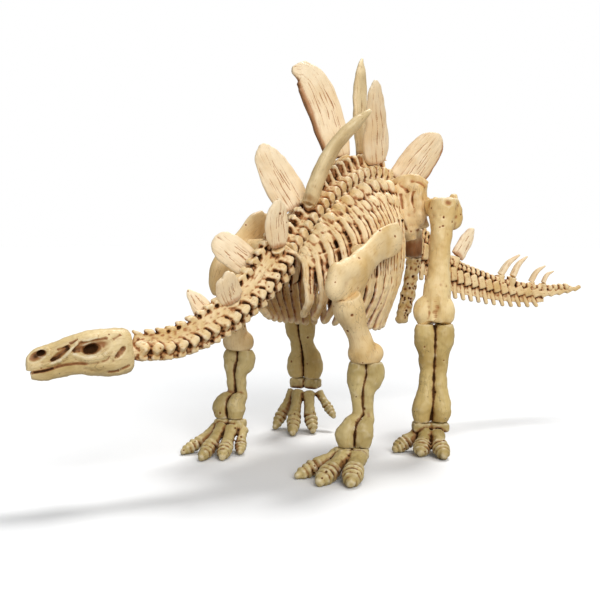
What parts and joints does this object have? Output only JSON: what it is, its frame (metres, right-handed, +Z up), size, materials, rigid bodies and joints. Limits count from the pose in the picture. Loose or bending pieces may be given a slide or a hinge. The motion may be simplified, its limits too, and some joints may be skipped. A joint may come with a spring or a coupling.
{
  "type": "toy dinosaur skeleton",
  "caption": "Toy skeleton of a plated dinosaur in cast ivory plastic, standing on its feet with a row of leaf-shaped plates along the back and spikes on the tail.",
  "frame": {"origin": "on the floor, under the middle of the outline box", "axes": "the animal faces -Y, its left side is +X, +Z is up"},
  "size_m": [0.0684, 0.2043, 0.1224],
  "materials": {
    "ivory": "cast ivory plastic with a brown wash in its hollows, slightly satin",
    "pale": "lighter cream cast plastic with faint lengthwise streaks, slightly satin",
    "tawny": "yellower ivory plastic with a brown wash, slightly satin"
  },
  "bodies": {
    "root": {"head": "ivory", "neck": "ivory", "back": "ivory", "tail": "ivory", "ribs_left": "ivory", "ribs_right": "ivory", "pelvis": "ivory", "scapula_left": "ivory", "scapula_right": "ivory", "humerus_left": "ivory", "humerus_right": "ivory", "forearm_left": "ivory", "forearm_right": "ivory", "forefoot_left": "ivory", "forefoot_right": "ivory", "hindfoot_left": "ivory", "hindfoot_right": "ivory", "plate_1": "pale", "plate_2": "pale", "plate_3": "pale", "plate_4": "pale", "plate_5": "pale", "plate_6": "pale", "plate_7": "pale", "plate_8": "pale", "plate_9": "pale", "plate_10": "pale", "plate_11": "pale", "spike_1": "pale", "spike_2": "pale", "spike_3": "pale", "spike_4": "pale", "pubis_left": "tawny", "pubis_right": "tawny", "femur_left": "tawny", "femur_right": "tawny", "shank_left": "tawny", "shank_right": "tawny"}
  },
  "joints": []
}
